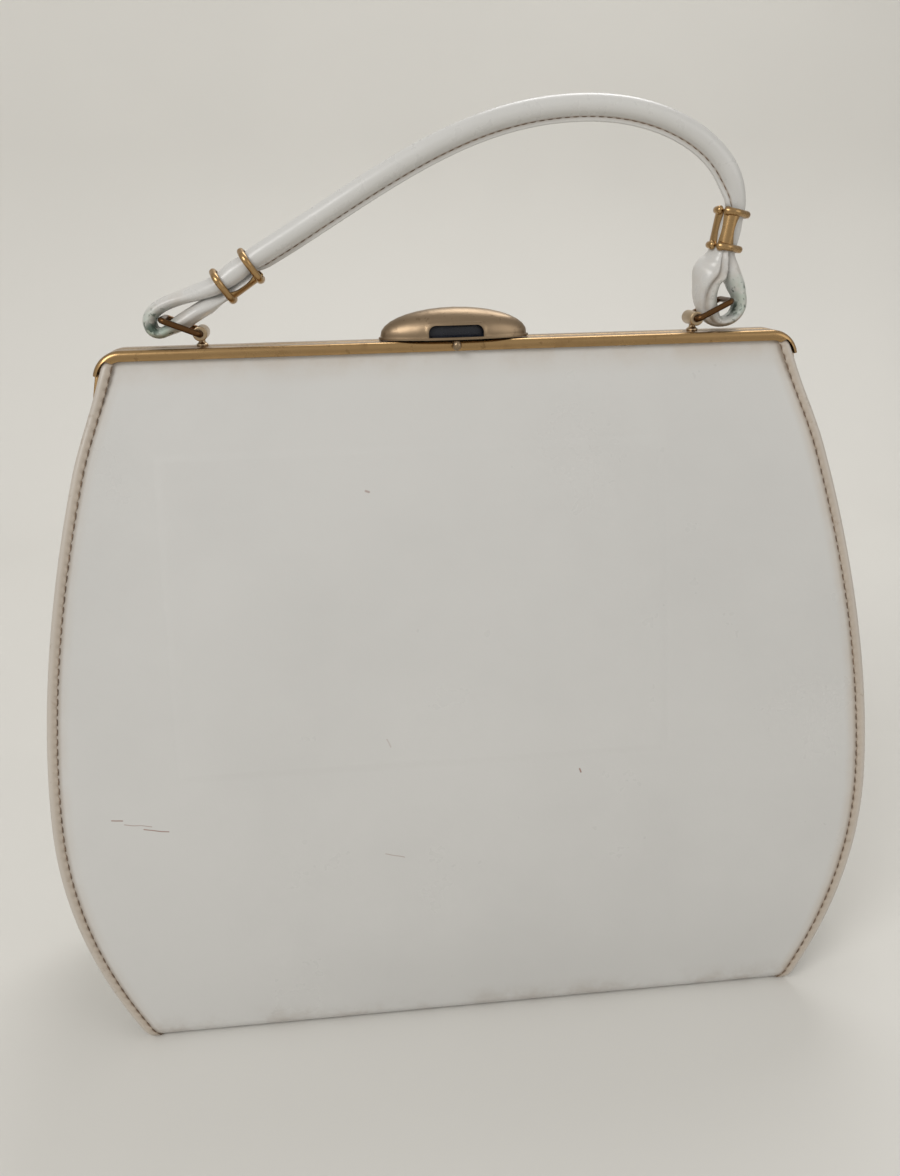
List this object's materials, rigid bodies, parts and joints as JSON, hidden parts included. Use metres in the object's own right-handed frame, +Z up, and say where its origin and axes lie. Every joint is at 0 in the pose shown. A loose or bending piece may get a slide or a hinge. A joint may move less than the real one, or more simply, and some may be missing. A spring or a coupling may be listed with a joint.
{
  "type": "frame handbag",
  "caption": "White vinyl frame handbag with barrel-shaped sides, a hinged gold channel frame, a domed lift clasp and a rolled handle looped through wire rings.",
  "frame": {"origin": "middle of the base, on the surface that the bag stands on", "axes": "+Z up, +X to the right seen from the front, +Y from the front to the back"},
  "size_m": [0.27, 0.077, 0.297],
  "materials": {
    "white_vinyl": "glossy white vinyl, slightly yellowed",
    "edge_vinyl": "yellowed rolled edge",
    "gold_metal": "gold plated, aged",
    "lining_cloth": "plain woven cloth",
    "board": "plain board",
    "dark_enamel": "dark, polished"
  },
  "bodies": {
    "bag": {"body_wrapper": "white_vinyl", "left_gusset": "white_vinyl", "right_gusset": "white_vinyl", "left_front_binding": "edge_vinyl", "right_front_binding": "edge_vinyl", "left_back_binding": "edge_vinyl", "right_back_binding": "edge_vinyl", "base_board": "board", "lining": "lining_cloth", "lining_pocket": "lining_cloth", "left_hinge_rivet": "gold_metal", "right_hinge_rivet": "gold_metal"},
    "front_half": {"front_frame": "gold_metal", "catch_stud": "gold_metal"},
    "back_half": {"back_frame": "gold_metal", "clasp_bracket": "gold_metal", "clasp_pin": "gold_metal", "left_lug": "gold_metal", "right_lug": "gold_metal", "handle_strap": "white_vinyl", "left_keeper": "gold_metal", "right_keeper": "gold_metal"},
    "clasp": {"clasp_dome": "gold_metal", "clasp_inlay": "dark_enamel"},
    "left_handle_ring": {"left_ring": "gold_metal"},
    "right_handle_ring": {"right_ring": "gold_metal"}
  },
  "joints": [
    {"name": "front_half_hinge", "type": "hinge", "parent": "bag", "child": "front_half", "pos_m": [0, 0, 0.184], "axis": [1, 0, 0], "range_deg": [0, 30], "deforming": ["body_wrapper", "left_gusset", "right_gusset", "left_front_binding", "right_front_binding", "left_back_binding", "right_back_binding", "lining"]},
    {"name": "back_half_hinge", "type": "hinge", "parent": "bag", "child": "back_half", "pos_m": [0, 0, 0.184], "axis": [-1, 0, 0], "range_deg": [0, 30], "deforming": ["body_wrapper", "left_gusset", "right_gusset", "left_front_binding", "right_front_binding", "left_back_binding", "right_back_binding", "lining"]},
    {"name": "clasp_lift", "type": "hinge", "parent": "back_half", "child": "clasp", "pos_m": [0, 0.0072, 0.2293], "axis": [-1, 0, 0], "range_deg": [0, 75]},
    {"name": "left_ring_swing", "type": "hinge", "parent": "back_half", "child": "left_handle_ring", "pos_m": [-0.078, 0.003, 0.2306], "axis": [0, 1, 0], "range_deg": [-5, 2]},
    {"name": "right_ring_swing", "type": "hinge", "parent": "back_half", "child": "right_handle_ring", "pos_m": [0.078, 0.003, 0.2306], "axis": [0, -1, 0], "range_deg": [-6, 18]}
  ]
}
